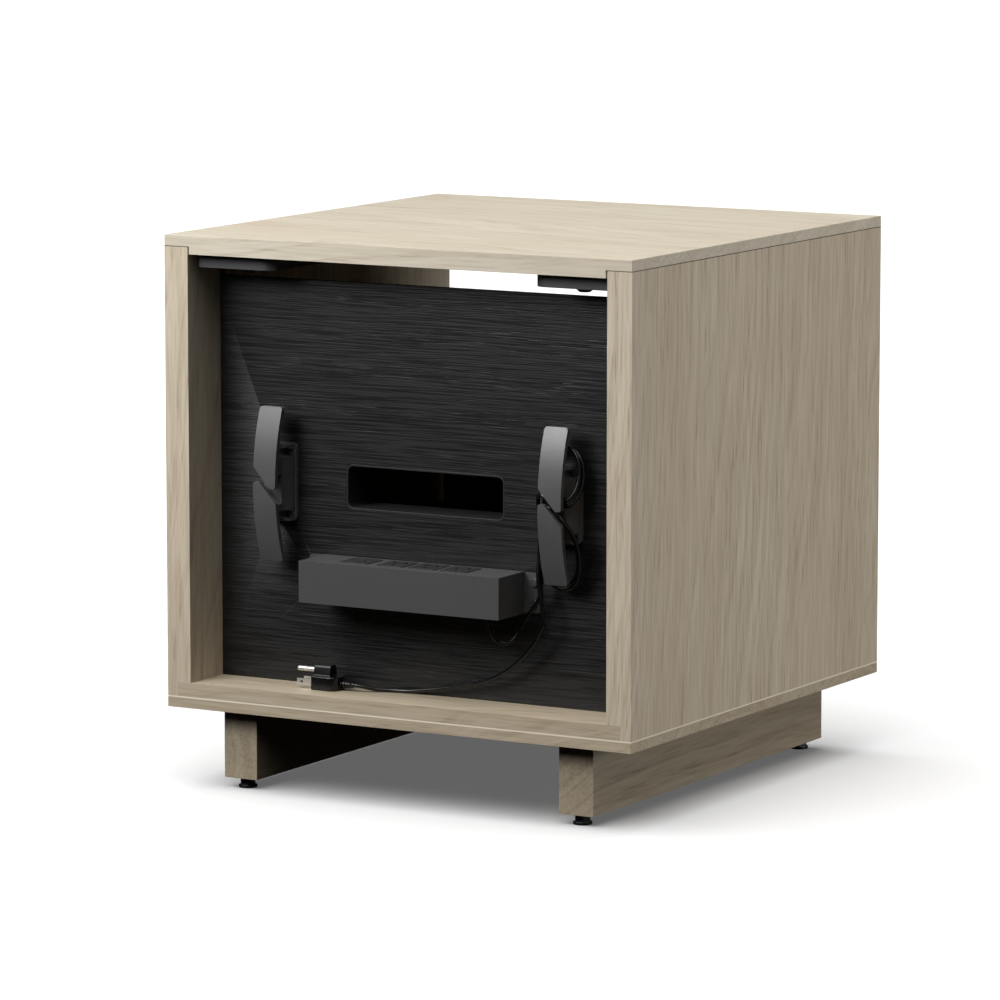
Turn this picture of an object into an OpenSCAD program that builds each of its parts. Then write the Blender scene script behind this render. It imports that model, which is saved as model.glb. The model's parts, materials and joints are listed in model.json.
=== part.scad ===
// Media cabinet: an oak case on two runners, with a recessed black back panel that
// carries two cable cleats and a power strip, an open bay and a compartment with a door.
// The front faces -Y, the cable side faces +Y, and the floor is at z = 0.

/* [Case] */
// Width across the two sides
cab_w = 508; // [430:1:700]
// Depth from front edge to back edge
cab_d = 515; // [440:1:680]
// Height of the wooden case above its runners
case_h = 457; // [420:1:620]
// Thickness of the side panels
side_t = 26; // [20:0.5:32]
// Thickness of the top panel
top_t = 18; // [15:0.5:28]
// Thickness of the bottom panel
bottom_t = 25; // [20:0.5:32]
// Thickness of the top's edge where it rests on the sides
top_lip = 10.5; // [8:0.5:13]
// Thickness of the bottom's edge under the tongues of the sides
bottom_lip = 10.5; // [8:0.5:14]
// Thickness of the tongue at the foot of each side
tongue_t = 11; // [8:0.5:14]
// Shadow gap between the top's shoulder and the side
reveal = 1.6; // [0.5:0.1:3]
// Depth of the bevel round the front opening
bevel_d = 20; // [10:1:45]
// Front edge that the bevel leaves
bevel_edge = 6; // [4:0.5:10]

/* [Back panel] */
// How far the back panel stands in from the back edge
panel_inset = 58; // [50:1:90]
// Thickness of the back panel
panel_t = 9; // [6:0.5:15]
// Height of the ventilation gap above the back panel
vent_h = 24.5; // [15:0.5:40]
// Depth of the grooves that hold the back panel
groove_d = 6; // [4:0.5:8]
// Width of the cable slot
slot_w = 170; // [100:1:220]
// Height of the cable slot
slot_h = 40; // [25:1:60]
// Height of the slot's middle above the inside floor
slot_z = 193.5; // [170:0.5:220]
// Corner radius of the slot
slot_r = 6; // [3:0.5:12]
// Depth of the slot's liner
liner_d = 44; // [20:1:60]
// Wall of the slot's liner
liner_wall = 2; // [1.5:0.5:4]

/* [Shelves and door] */
// Height of the open bay under the top
bay_h = 139; // [110:1:160]
// Thickness of the fixed shelf
shelf_t = 18; // [15:0.5:25]
// Thickness of the adjustable shelf
tray_t = 16; // [12:0.5:20]
// Height of the adjustable shelf above the inside floor
tray_z = 105; // [80:1:120]
// Thickness of the door
door_t = 18; // [16:0.5:22]
// Gap round the door
door_gap = 2.5; // [2:0.1:4]
// Diameter of the hinge pins
hinge_pin_d = 6; // [4:0.5:8]
// Clearance on the radius of each hinge pin
pin_fit = 0.05; // [0.02:0.01:0.09]

/* [Base] */
// Height of the runners
runner_h = 68; // [40:1:100]
// Thickness of the runners
runner_w = 36.5; // [28:0.5:50]
// Distance from the case's side to a runner
runner_side = 51; // [20:1:100]
// Distance from the case's ends to the runners' ends
runner_end = 21; // [0:1:60]
// Height of the levelling feet below the runners
foot_h = 10; // [8:0.5:16]
// Diameter of a foot's flange
foot_d = 18; // [16:0.5:26]
// Size across the flats of a foot's neck
foot_af = 14; // [12:0.5:15]
// Diameter of a foot's stem
stem_d = 8; // [6:0.5:9]
// Distance from a runner's end to the middle of its foot
foot_end = 13; // [12:0.5:30]

/* [Top brackets] */
// Width of a bracket
bracket_w = 84.5; // [60:0.5:100]
// Length of a bracket from back to front
bracket_l = 116; // [90:1:160]
// Thickness of a bracket
bracket_t = 13; // [10:0.5:18]
// Radius of a bracket's inner corners
bracket_r = 14; // [6:1:20]
// Distance from the back edge to a back bracket
bracket_inset = 14; // [10:0.5:30]
// Distance from the front bevel to a front bracket
bracket_setback = 4; // [2:0.5:20]
// Gap between a bracket and the side panel
bracket_gap = 2.5; // [1.5:0.5:4]
// Diameter of the knobs under the brackets
knob_d = 17; // [12:0.5:22]
// Height of the knobs under the brackets
knob_h = 5; // [3:0.5:6]

/* [Cable cleats] */
// Distance from the cabinet's middle to the middle of a cleat
cleat_x = 156; // [140:1:180]
// Height of the cleats' middle above the inside floor
cleat_z = 194.5; // [180:0.5:220]
// Length of a cleat
cleat_l = 149; // [130:1:180]
// Width of a cleat's plates
cleat_w = 24.8; // [20:0.2:30]
// Distance from the panel to the middle of a cleat's plates
cleat_out = 38; // [36:0.5:46]
// Distance from the panel to the ends of a cleat's plates
cleat_end_out = 24; // [20:0.5:30]
// Thickness of a cleat's plates
cleat_plate_t = 5; // [4:0.5:6]
// Width of the diagonal slit that the cord passes through
slit_w = 5.2; // [4.6:0.1:6]

/* [Power strip] */
// Length of the strip's housing
strip_l = 219; // [200:1:240]
// Depth of the strip's housing from the panel
strip_d = 51; // [45:1:56]
// Height of the strip's housing
strip_h = 40; // [36:1:46]
// Height of the strip's underside above the inside floor
strip_z = 87; // [80:1:100]
// Wall of the housing
strip_wall = 2; // [1.5:0.5:3]
// Length of each mounting tab
tab_l = 18; // [15:0.5:24]

/* [Hidden] */
$fn = 64;
eps = 0.01;
cut = 1;

// Finishes
oak = [0.72, 0.66, 0.55];
oak_dark = [0.60, 0.54, 0.44];
black_oak = [0.13, 0.13, 0.13];
grey_metal = [0.28, 0.28, 0.29];
black_plastic = [0.12, 0.12, 0.12];
steel = [0.75, 0.75, 0.76];
brass = [0.80, 0.65, 0.30];

// Heights of the case's main faces
base_z = runner_h + foot_h;
floor_z = base_z + bottom_t;
top_z = base_z + case_h;
ceiling_z = top_z - top_t;
seam_z = top_z - top_lip;
tongue_z = base_z + bottom_lip;
shelf_z = ceiling_z - bay_h;
shelf_low_z = shelf_z - shelf_t;

// Main faces across and along the case
half_w = cab_w / 2;
back_y = cab_d / 2;
front_y = -cab_d / 2;
inner_x = half_w - side_t;
shoulder_x = inner_x - reveal;
door_front_y = front_y + bevel_d;
door_back_y = door_front_y + door_t;
panel_y = back_y - panel_inset;
panel_in_y = panel_y - panel_t;
panel_top_z = ceiling_z - vent_h;
groove_play = 0.2;

// Fasteners
dowel_d = 8;
dowel_l = 36;
shelf_pin_d = 5;
shelf_pin_hole = 10;
shelf_pin_out = 8;
tray_gap = 1;
runner_screw_d = 6;
runner_screw_l = 60;
runner_screw_head = 12;
insert_d = 11;
insert_l = 18;
stem_up = 26;
small_screw_d = 3.5;
small_head_d = 7;
small_head_h = 2.4;

// Moves its children to the four corners given by signs of x and y
module four_corners(dx, dy) {
  for (sx = [-1, 1])
    for (sy = [-1, 1])
      translate([sx * dx, sy * dy, 0]) children();
}

// Extrudes a section drawn in x and z along the depth, from y0 to y1
module along_y(y0, y1) {
  translate([0, y1, 0]) rotate([90, 0, 0]) linear_extrude(height = y1 - y0) children();
}

// Extrudes a section drawn in y and z across the width, from x0 to x1
module along_x(x0, x1) {
  translate([x0, 0, 0]) rotate([90, 0, 90]) linear_extrude(height = x1 - x0) children();
}

// Cylinder that points along +Y from the origin
module rod_y(d, l) {
  rotate([-90, 0, 0]) cylinder(d = d, h = l);
}

// Cylinder that points along +X from the origin
module rod_x(d, l) {
  rotate([0, 90, 0]) cylinder(d = d, h = l);
}

function unit(v) = v / norm(v);

// Points of the arc that rounds the corner p between its neighbours a and b
function corner_arc(a, p, b, r, n = 6) =
  let (u = unit(a - p), v = unit(b - p))
  let (half = acos(u * v) / 2)
  let (centre = p + unit(u + v) * r / sin(half))
  let (q0 = p + u * r / tan(half) - centre, q1 = p + v * r / tan(half) - centre)
  let (a0 = atan2(q0[1], q0[0]), turn = atan2(q1[1], q1[0]) - a0)
  let (sweep = turn > 180 ? turn - 360 : turn < -180 ? turn + 360 : turn)
  [for (k = [0:n]) centre + r * [cos(a0 + sweep * k / n), sin(a0 + sweep * k / n)]];

// Outline with every corner rounded to its own radius; a radius of 0 keeps the corner
function rounded(pts, radii) =
  [for (i = [0:len(pts) - 1])
    each radii[i] == 0
      ? [pts[i]]
      : corner_arc(pts[(i + len(pts) - 1) % len(pts)], pts[i], pts[(i + 1) % len(pts)], radii[i])];

// Hexagon with the given size across its flats
module hexagon(across) {
  polygon([for (k = [0:5]) across / 2 / cos(30) * [cos(60 * k), sin(60 * k)]]);
}

// Rectangle centred on the origin with the same radius at each corner
module soft_rect(w, h, r) {
  polygon(rounded([[-w, -h] / 2, [w, -h] / 2, [w, h] / 2, [-w, h] / 2], [r, r, r, r]));
}

// ---- Case ----

// The bevelled opening at the front: two tapered prisms meet in mitred corners
module front_bevel() {
  far = front_y + bevel_d;
  out_x = half_w - bevel_edge;
  low = base_z + bevel_edge;
  high = top_z - bevel_edge;
  slope_x = (out_x - inner_x) / bevel_d;
  slope_low = (floor_z - low) / bevel_d;
  slope_high = (high - ceiling_z) / bevel_d;
  intersection() {
    translate([0, 0, base_z - cut]) linear_extrude(height = case_h + 2 * cut)
      polygon([[-inner_x, far], [inner_x, far],
        [out_x + slope_x * cut, front_y - cut], [-out_x - slope_x * cut, front_y - cut]]);
    along_x(-cab_w, cab_w)
      polygon([[far, floor_z], [front_y - cut, low - slope_low * cut],
        [front_y - cut, high + slope_high * cut], [far, ceiling_z]]);
  }
}

module top_panel() {
  color(oak) difference() {
    along_y(front_y, back_y)
      polygon([[-half_w, seam_z], [-shoulder_x, seam_z], [-shoulder_x, ceiling_z],
        [shoulder_x, ceiling_z], [shoulder_x, seam_z], [half_w, seam_z],
        [half_w, top_z], [-half_w, top_z]]);
    front_bevel();
    bracket_fixings() translate([0, 0, -cut]) cylinder(d = bracket_insert_d, h = bracket_insert_l + cut);
  }
}

// Section of the side on +X, in x and z
module side_section() {
  polygon([[inner_x, floor_z], [inner_x, seam_z], [half_w, seam_z], [half_w, tongue_z],
    [half_w - tongue_t, tongue_z], [half_w - tongue_t, floor_z]]);
}

// One side panel; s is 1 for the side on +X and -1 for the side on -X
module side_panel(s) {
  color(oak) difference() {
    scale_x(s) along_y(front_y, back_y) side_section();
    front_bevel();
    panel_groove();
    side_dowels(s);
    shelf_dowels(s);
    shelf_pin_places(s) translate([-cut, 0, 0]) rod_x(shelf_pin_d, cut + shelf_pin_hole);
    bracket_screw_places(s) translate([-cut, 0, 0]) rod_x(small_screw_d, cut + bracket_screw_bite);
  }
}

// Mirrors its children across x when s is -1
module scale_x(s) {
  if (s > 0) children();
  else mirror([1, 0, 0]) children();
}

module bottom_panel() {
  step_x = half_w - tongue_t;
  color(oak) difference() {
    along_y(front_y, back_y)
      polygon([[-half_w, base_z], [half_w, base_z], [half_w, tongue_z], [step_x, tongue_z],
        [step_x, floor_z], [-step_x, floor_z], [-step_x, tongue_z], [-half_w, tongue_z]]);
    front_bevel();
    panel_groove();
    for (s = [-1, 1]) side_dowels(s);
    runner_screw_places() runner_screw();
    translate([hinge_x, hinge_y, floor_z - pin_seat]) cylinder(d = hinge_pin_d, h = pin_seat + cut);
  }
}

module fixed_shelf() {
  color(oak) difference() {
    translate([-inner_x, door_front_y, shelf_low_z])
      cube([2 * inner_x, panel_in_y - groove_play - door_front_y, shelf_t]);
    for (s = [-1, 1]) shelf_dowels(s);
    translate([hinge_x, hinge_y, shelf_low_z - cut]) cylinder(d = hinge_pin_d, h = pin_seat + cut);
    catch_place() translate([0, 0, -cut]) cylinder(d = small_screw_d, h = catch_screw_bite + cut);
  }
}

module adjustable_shelf() {
  color(oak) translate([-inner_x + tray_gap, tray_front_y, floor_z + tray_z])
    cube([2 * (inner_x - tray_gap), tray_back_y - tray_front_y, tray_t]);
}

tray_front_y = door_back_y + 20;
tray_back_y = panel_y - liner_d - 8;
tray_pin_y = 60;

// Where the shelf pins enter a side panel, pointing outwards
module shelf_pin_places(s) {
  for (y = [tray_front_y + tray_pin_y, tray_back_y - tray_pin_y])
    scale_x(s) translate([inner_x, y, floor_z + tray_z - shelf_pin_d / 2]) children();
}

module shelf_pins() {
  color(steel)
    for (s = [-1, 1])
      shelf_pin_places(s) translate([-shelf_pin_out, 0, 0])
        rod_x(shelf_pin_d, shelf_pin_out + shelf_pin_hole);
}

// Upright dowels between the bottom panel and one side
module side_dowels(s) {
  dowel_low = floor_z - 15;
  for (y = [front_y + 80, 0, panel_in_y - 40])
    translate([s * (inner_x + (side_t - tongue_t) / 2), y, dowel_low]) cylinder(d = dowel_d, h = dowel_l);
}

// Level dowels between the fixed shelf and one side
module shelf_dowels(s) {
  for (y = [door_front_y + 60, panel_in_y - 60])
    scale_x(s) translate([inner_x - dowel_l + 14, y, shelf_z - shelf_t / 2]) rod_x(dowel_d, dowel_l);
}

module dowels() {
  color(oak_dark)
    for (s = [-1, 1]) {
      side_dowels(s);
      shelf_dowels(s);
    }
}

// ---- Back panel ----

// Groove in the sides and the bottom, open at the top so that the panel slides down
module panel_groove() {
  translate([-inner_x - groove_d, panel_in_y - groove_play, floor_z - groove_d])
    cube([2 * (inner_x + groove_d), panel_t + 2 * groove_play, case_h]);
}

module back_panel() {
  color(black_oak) difference() {
    translate([-inner_x - groove_d + groove_play, panel_in_y, floor_z - groove_d])
      cube([2 * (inner_x + groove_d - groove_play), panel_t, panel_top_z - floor_z + groove_d]);
    slot_hollow(slot_w + 2 * liner_wall, slot_h + 2 * liner_wall, slot_r + liner_wall,
      panel_in_y - cut, panel_y + cut);
    cleat_screw_places() translate([0, cut, 0]) rotate([180, 0, 0]) rod_y(small_screw_d, screw_bite + cut);
    strip_screw_places() translate([0, cut, 0]) rotate([180, 0, 0]) rod_y(small_screw_d, screw_bite + cut);
  }
}

// Rounded block along the depth at the cable slot
module slot_hollow(w, h, r, y0, y1) {
  along_y(y0, y1) translate([0, floor_z + slot_z]) soft_rect(w, h, r);
}

module slot_liner() {
  color(black_plastic) difference() {
    slot_hollow(slot_w + 2 * liner_wall, slot_h + 2 * liner_wall, slot_r + liner_wall,
      panel_y - liner_d, panel_y);
    slot_hollow(slot_w, slot_h, slot_r, panel_y - liner_d - cut, panel_y + cut);
  }
}

screw_bite = 7;

// ---- Base ----

runner_x = half_w - runner_side - runner_w / 2;
runner_half_l = cab_d / 2 - runner_end;
foot_y = runner_half_l - foot_end;
bore_d = stem_d + 1;
bore_l = stem_up + 6;

module runner(s) {
  color(oak_dark) difference() {
    translate([s * runner_x - runner_w / 2, -runner_half_l, foot_h])
      cube([runner_w, 2 * runner_half_l, runner_h]);
    for (t = [-1, 1])
      translate([s * runner_x, t * foot_y, foot_h - cut]) {
        cylinder(d = insert_d, h = insert_l + cut);
        cylinder(d = bore_d, h = bore_l + cut);
      }
    runner_screw_places() runner_screw();
  }
}

// The points on the inside floor where the screws go down into the runners
module runner_screw_places() {
  translate([0, 0, floor_z]) four_corners(runner_x, runner_half_l - 110) children();
}

module runner_screw() {
  translate([0, 0, -runner_screw_l]) cylinder(d = runner_screw_d, h = runner_screw_l);
  translate([0, 0, -4]) cylinder(d1 = runner_screw_d, d2 = runner_screw_head, h = 4);
}

module runner_screws() {
  color(steel) difference() {
    runner_screw_places() runner_screw();
    runner_screw_places() translate([0, 0, -2]) linear_extrude(height = 2 + cut) hexagon(4);
  }
}

module foot_inserts() {
  color(steel) translate([0, 0, foot_h]) four_corners(runner_x, foot_y)
    difference() {
      cylinder(d = insert_d, h = insert_l);
      translate([0, 0, -cut]) cylinder(d = stem_d + 2 * pin_fit, h = insert_l + 2 * cut);
    }
}

// One levelling foot: a flange, a hexagonal neck and a stem
module levelling_foot(sx, sy) {
  flange_h = 2.5;
  color(black_plastic) translate([sx * runner_x, sy * foot_y, 0]) {
    cylinder(d = foot_d, h = flange_h);
    linear_extrude(height = foot_h) hexagon(foot_af);
    cylinder(d = stem_d, h = foot_h + stem_up);
  }
}

// ---- Brackets under the top ----

bracket_x = inner_x - bracket_gap - bracket_w / 2;
bracket_back_y = back_y - bracket_inset - bracket_l / 2;
bracket_front_y = door_front_y + bracket_setback + bracket_l / 2;
bracket_low_z = ceiling_z - bracket_t;
bracket_wall = 2.5;
knob_pitch = bracket_l - 50;
bracket_insert_d = 10;
bracket_insert_l = 12;
bracket_screw_d = 6;
bracket_screw_bite = 16;

// Middle of a bracket along the depth; s is 1 at the back and -1 at the front
function bracket_y(s) = s > 0 ? bracket_back_y : bracket_front_y;

// Bracket outline with large radii on the inner corners; s is the side it stands on
module bracket_outline(s, grow) {
  w = bracket_w / 2 + grow;
  l = bracket_l / 2 + grow;
  r = bracket_r + grow;
  small = 3 + grow;
  scale_x(s) polygon(rounded([[-w, -l], [w, -l], [w, l], [-w, l]], [r, small, small, r]));
}

// Tray-shaped bracket, open upwards against the top, with two bosses for the knobs
module top_bracket(sx, sy) {
  color(grey_metal) translate([sx * bracket_x, bracket_y(sy), bracket_low_z])
    difference() {
      union() {
        difference() {
          linear_extrude(height = bracket_t) bracket_outline(sx, 0);
          translate([0, 0, bracket_wall]) linear_extrude(height = bracket_t)
            bracket_outline(sx, -bracket_wall);
        }
        for (t = [-1, 1])
          translate([0, t * knob_pitch / 2, 0]) cylinder(d = 16, h = bracket_t);
      }
      for (t = [-1, 1])
        translate([0, t * knob_pitch / 2, -cut]) cylinder(d = bracket_screw_d, h = bracket_t + 2 * cut);
      for (t = [-1, 1])
        translate([sx * (bracket_w / 2 - bracket_wall - cut), t * bracket_l / 4, bracket_t / 2])
          scale_x(sx) rod_x(small_screw_d, bracket_wall + 2 * cut);
    }
}

// The points under the top panel where the bracket knobs screw in
module bracket_fixings() {
  translate([0, 0, ceiling_z])
    for (t = [-1, 1])
      for (sx = [-1, 1])
        for (sy = [-1, 1])
          translate([sx * bracket_x, bracket_y(sy) + t * knob_pitch / 2, 0]) children();
}

module bracket_inserts() {
  color(brass) bracket_fixings() difference() {
    cylinder(d = bracket_insert_d, h = bracket_insert_l);
    translate([0, 0, -cut]) cylinder(d = bracket_screw_d, h = bracket_insert_l + 2 * cut);
  }
}

// Round-headed knobs whose screws pass through the brackets into the inserts
module bracket_knobs() {
  rim = 2;
  color(black_plastic) bracket_fixings() translate([0, 0, -bracket_t]) {
    cylinder(d = bracket_screw_d, h = bracket_t + bracket_insert_l - 2);
    translate([0, 0, -rim]) cylinder(d = knob_d, h = rim);
    translate([0, 0, -knob_h]) cylinder(d1 = knob_d * 0.62, d2 = knob_d, h = knob_h - rim);
  }
}

// The points on one side panel's inner face where a bracket is screwed on
module bracket_screw_places(s) {
  for (sy = [-1, 1])
    for (t = [-1, 1])
      scale_x(s) translate([inner_x, bracket_y(sy) + t * bracket_l / 4, bracket_low_z + bracket_t / 2])
        children();
}

module bracket_screws() {
  head = bracket_gap + bracket_wall;
  color(steel)
    for (s = [-1, 1])
      bracket_screw_places(s) {
        translate([-head - small_head_h, 0, 0]) rod_x(small_head_d, small_head_h);
        translate([-head, 0, 0]) rod_x(small_screw_d, head + bracket_screw_bite);
      }
}

// ---- Door ----

hinge_inset = door_t / 2;
hinge_x = -inner_x + door_gap + hinge_inset;
hinge_y = door_front_y + door_t / 2;
door_low_z = floor_z + door_gap;
door_high_z = shelf_low_z - door_gap;
door_right_x = inner_x - door_gap;
bush_d = hinge_pin_d + 4;
bush_l = 14;
pin_seat = 12;
pin_reach = 12;

// Door with a half-round edge at its pivots
module door_panel() {
  h = door_high_z - door_low_z;
  color(oak) difference() {
    union() {
      translate([hinge_x, door_front_y, door_low_z]) cube([door_right_x - hinge_x, door_t, h]);
      translate([hinge_x, hinge_y, door_low_z]) cylinder(d = door_t, h = h);
    }
    translate([hinge_x, hinge_y, door_low_z - cut]) cylinder(d = bush_d, h = bush_l + cut);
    translate([hinge_x, hinge_y, door_high_z - bush_l]) cylinder(d = bush_d, h = bush_l + cut);
    pull_screw_places() rotate([180, 0, 0]) translate([0, -pull_t - cut, 0])
      rod_y(small_screw_d, pull_screw_l + pull_t + cut);
    strike_place() translate([0, -strike_t, 0]) translate([-strike_w / 2, 0, -strike_h])
      cube([strike_w, strike_t + cut, strike_h + cut]);
  }
}

// One flanged bush; its flange takes up the gap below the door
module hinge_bush() {
  flange = door_gap - 0.1;
  difference() {
    union() {
      translate([0, 0, -flange]) cylinder(d = bush_d + 4, h = flange);
      cylinder(d = bush_d, h = bush_l);
    }
    translate([0, 0, -flange - cut]) cylinder(d = hinge_pin_d + 2 * pin_fit, h = flange + bush_l + 2 * cut);
  }
}

module hinge_bushes() {
  color(brass) {
    translate([hinge_x, hinge_y, door_low_z]) hinge_bush();
    translate([hinge_x, hinge_y, door_high_z]) mirror([0, 0, 1]) hinge_bush();
  }
}

// Pivot pins seated in the bottom panel and in the fixed shelf
module hinge_pins() {
  l = pin_seat + door_gap + pin_reach;
  color(steel) {
    translate([hinge_x, hinge_y, floor_z - pin_seat]) cylinder(d = hinge_pin_d, h = l);
    translate([hinge_x, hinge_y, shelf_low_z + pin_seat - l]) cylinder(d = hinge_pin_d, h = l);
  }
}

pull_l = 90;
pull_x = door_right_x - 100;
pull_out = 16;
pull_t = 2;
pull_h = 14;
pull_screw_l = 10;

// The points on the back of the door where the pull's screws go in
module pull_screw_places() {
  for (t = [-1, 1])
    translate([pull_x + t * pull_l / 3, door_back_y, door_high_z - pull_h / 2]) children();
}

// Folded tab that hooks over the door's top edge and stands out in front
module door_pull() {
  x0 = pull_x - pull_l / 2;
  lip = 8;
  fold = 1.5;
  out_y = door_front_y - pull_out;
  color(grey_metal) difference() {
    union() {
      translate([x0, door_back_y, door_high_z - pull_h]) cube([pull_l, pull_t, pull_h + fold]);
      translate([x0, out_y, door_high_z]) cube([pull_l, door_t + pull_out + pull_t, fold]);
      translate([x0, out_y, door_high_z - lip]) cube([pull_l, pull_t, lip + fold]);
    }
    pull_screw_places() translate([0, -cut, 0]) rod_y(small_screw_d, pull_t + 2 * cut);
  }
}

module pull_screws() {
  color(steel) pull_screw_places() {
    rotate([180, 0, 0]) rod_y(small_screw_d, pull_screw_l);
    rod_y(small_screw_d, pull_t);
    translate([0, pull_t, 0]) rod_y(small_head_d, small_head_h);
  }
}

catch_l = 46;
catch_d = 15;
catch_h = 13;
catch_play = 0.5;
catch_screw_bite = 12;
strike_w = 40;
strike_h = 14;
strike_t = 1.5;
catch_x = inner_x - 28;
catch_y = door_back_y + catch_play + catch_d / 2;

// The points under the fixed shelf where the magnet catch is screwed on
module catch_place() {
  for (t = [-1, 1])
    translate([catch_x + t * 16, catch_y, shelf_low_z]) children();
}

module magnet_catch() {
  color(black_plastic) difference() {
    translate([catch_x - catch_l / 2, catch_y - catch_d / 2, shelf_low_z - catch_h])
      cube([catch_l, catch_d, catch_h]);
    catch_place() {
      translate([0, 0, -catch_h - cut]) cylinder(d = small_screw_d, h = catch_h + 2 * cut);
      translate([0, 0, -catch_h - cut]) cylinder(d = small_head_d + 1, h = cut + 5);
    }
  }
}

module catch_screws() {
  color(steel) catch_place() {
    translate([0, 0, 5 - catch_h]) cylinder(d = small_screw_d, h = catch_h - 5 + catch_screw_bite);
    translate([0, 0, 5 - catch_h - small_head_h]) cylinder(d = small_head_d, h = small_head_h);
  }
}

// The middle of the strike plate's upper edge, flush with the back of the door
module strike_place() {
  translate([catch_x, door_back_y, door_high_z]) children();
}

module strike_plate() {
  color(steel) strike_place() translate([-strike_w / 2, -strike_t, -strike_h])
    cube([strike_w, strike_t, strike_h]);
}

// ---- Cable cleats ----

cleat_mid_z = floor_z + cleat_z;
cleat_sag = cleat_out - cleat_end_out;
cleat_arc_r = (pow(cleat_l / 2, 2) + pow(cleat_sag, 2)) / 2 / cleat_sag;
flange_w = 31;
flange_l = 75;
flange_t = 4;
slit_slope = 1.1;
slit_angle = atan(slit_slope);
slit_floor = 22;
saddle_at = 14;
saddle_end = 9;
saddle_mid = 11;
saddle_high = 22;
cleat_screw_x = 9.8;
cleat_screw_z = 30;

// Front view of the upper plate; the slit's edge runs down to a blunt tip
function upper_plate() =
  let (w = cleat_w / 2, edge = slit_w / 2 / cos(slit_angle), tip = -3)
  rounded([[w, cleat_l / 2], [-w, cleat_l / 2], [-w, tip], [(tip - edge) / slit_slope, tip],
    [w, edge + slit_slope * w]], [3, 3, 2.5, 1.5, 3]);

// Cylinder across the cleat that shares the plates' centre of curvature
module cleat_drum(r) {
  translate([-flange_w, cleat_out - cleat_arc_r, 0]) rotate([0, 90, 0])
    cylinder(r = r, h = 2 * flange_w, $fn = 256);
}

module cleat_plates() {
  intersection() {
    difference() {
      cleat_drum(cleat_arc_r);
      cleat_drum(cleat_arc_r - cleat_plate_t);
    }
    along_y(0, cleat_out + cut)
      for (a = [0, 180]) rotate([0, 0, a]) polygon(upper_plate());
  }
}

// Waisted neck between the flange and the plates
module cleat_neck() {
  front = cleat_out - 1;
  plate_half = 34.5;
  waist_half = 27;
  foot_half = flange_l / 2 - 0.6;
  neck_half = cleat_w / 2 - 0.4;
  intersection() {
    cleat_drum(cleat_arc_r - cleat_plate_t / 2);
    along_x(-flange_w, flange_w)
      polygon([[flange_t - cut, -foot_half], [15, -foot_half], [25.5, -waist_half],
        [cleat_out - cleat_plate_t, -plate_half], [front + 2, -plate_half], [front + 2, plate_half],
        [cleat_out - cleat_plate_t, plate_half], [25.5, waist_half], [15, foot_half],
        [flange_t - cut, foot_half]]);
    linear_extrude(height = cleat_l, center = true)
      polygon(rounded([[-13.5, 0], [13.5, 0], [13.5, 7], [9.5, 22], [neck_half, cleat_out - cleat_plate_t],
        [neck_half, front + 2], [-neck_half, front + 2], [-neck_half, cleat_out - cleat_plate_t],
        [-9.5, 22], [-13.5, 7]], [0, 0, 6, 12, 0, 0, 0, 0, 12, 6]));
  }
}

// Saddle between the neck's two halves, behind the slit; it holds the crossing turns of a cord.
// Under each plate it is wider on one side, so a turn round that half of the neck can bend into it.
module cleat_channel() {
  edge = [[-cleat_l, saddle_end], [-saddle_at, saddle_end], [0, saddle_mid],
    [saddle_at, saddle_high], [cleat_l, saddle_high]];
  along_y(slit_floor, cleat_out + cut)
    polygon([for (turn = [-1, 1]) for (p = edge) turn * p]);
}

module cleat(s) {
  color(grey_metal) translate([s * cleat_x, panel_y, cleat_mid_z]) difference() {
    union() {
      along_y(0, flange_t) soft_rect(flange_w, flange_l, 5);
      difference() {
        cleat_neck();
        cleat_channel();
        for (x = [-1, 1])
          for (z = [-1, 1])
            translate([x * cleat_screw_x, flange_t, z * cleat_screw_z]) rod_y(small_head_d + 1.6, cleat_out);
      }
      cleat_plates();
    }
    for (x = [-1, 1])
      for (z = [-1, 1])
        translate([x * cleat_screw_x, -cut, z * cleat_screw_z]) rod_y(small_screw_d, flange_t + 2 * cut);
  }
}

// The points on the panel's face where the cleats are screwed on
module cleat_screw_places() {
  for (s = [-1, 1])
    for (x = [-1, 1])
      for (z = [-1, 1])
        translate([s * cleat_x + x * cleat_screw_x, panel_y, cleat_mid_z + z * cleat_screw_z]) children();
}

// Pan-headed screw; its head sits at the given height above the panel
module pan_screw(seat) {
  rotate([180, 0, 0]) rod_y(small_screw_d, screw_bite);
  rod_y(small_screw_d, seat);
  translate([0, seat, 0]) rod_y(small_head_d, small_head_h);
}

module cleat_screws() {
  color(steel) cleat_screw_places() pan_screw(flange_t);
}

// ---- Power strip ----

strip_low_z = floor_z + strip_z;
plate_t = 2;
strip_out_y = panel_y + strip_d;
outlet_w = 30;
outlet_l = 32;
outlet_depth = 24;
bar_h = 8;
bar_pitch = 9;
outlet_rise = 0.6;
outlet_y = panel_y + 24;
outlet_fit = 0.2;
// Middles of the four outlets along the strip; the first is turned a quarter
outlet_x = [56, 16, -18.5, -53];
outlet_turn = [90, 0, 0, 0];
gland_x = -85;
gland_y = panel_y + 26;
gland_d = 6.4;

// Shell open towards the panel, with windows in its top for the outlets
module strip_housing() {
  color(grey_metal) difference() {
    translate([-strip_l / 2, panel_y + plate_t, strip_low_z]) cube([strip_l, strip_d - plate_t, strip_h]);
    translate([-strip_l / 2 + strip_wall, panel_y + plate_t - cut, strip_low_z + strip_wall])
      cube([strip_l - 2 * strip_wall, strip_d - plate_t - strip_wall + cut, strip_h - 2 * strip_wall]);
    outlet_places() translate([0, 0, -strip_wall - cut]) linear_extrude(height = strip_wall + 2 * cut)
      soft_rect(outlet_w, outlet_l, 3);
    translate([gland_x, gland_y, strip_low_z - cut]) cylinder(d = gland_d, h = strip_wall + 2 * cut);
  }
}

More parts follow.
